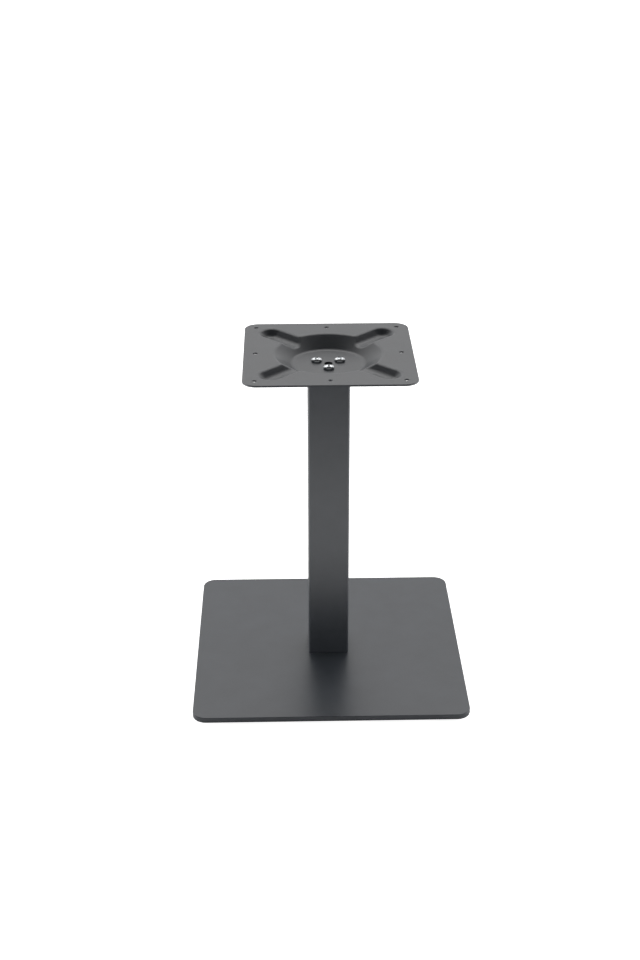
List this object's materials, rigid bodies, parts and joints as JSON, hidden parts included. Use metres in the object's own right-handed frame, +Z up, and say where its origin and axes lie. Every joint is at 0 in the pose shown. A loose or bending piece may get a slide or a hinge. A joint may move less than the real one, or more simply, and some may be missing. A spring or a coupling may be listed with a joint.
{
  "type": "table base",
  "caption": "Pedestal table base: flat square base plate on round glides, square column, and a pressed steel top plate with a dish, diagonal ribs and holes for screwing on a table top.",
  "frame": {"origin": "on the floor, under the middle of the column", "axes": "+Z up the column, X and Y along the base plate's sides, -Y towards the single front screw of the top plate"},
  "size_m": [0.4, 0.4, 0.4925],
  "materials": {
    "powder_coat": "matt dark grey powder coat on steel",
    "plain_steel": "plain welded steel plate",
    "bright_zinc": "bright zinc plated steel",
    "glide_plastic": "moulded black plastic"
  },
  "bodies": {
    "root": {"base_plate": "powder_coat", "column": "powder_coat", "top_plate": "powder_coat", "column_foot_plate": "plain_steel", "column_head_plate": "plain_steel", "top_screws": "bright_zinc", "base_screws": "bright_zinc", "glide_front_left": "glide_plastic", "glide_front_right": "glide_plastic", "glide_rear_left": "glide_plastic", "glide_rear_right": "glide_plastic"}
  },
  "joints": []
}
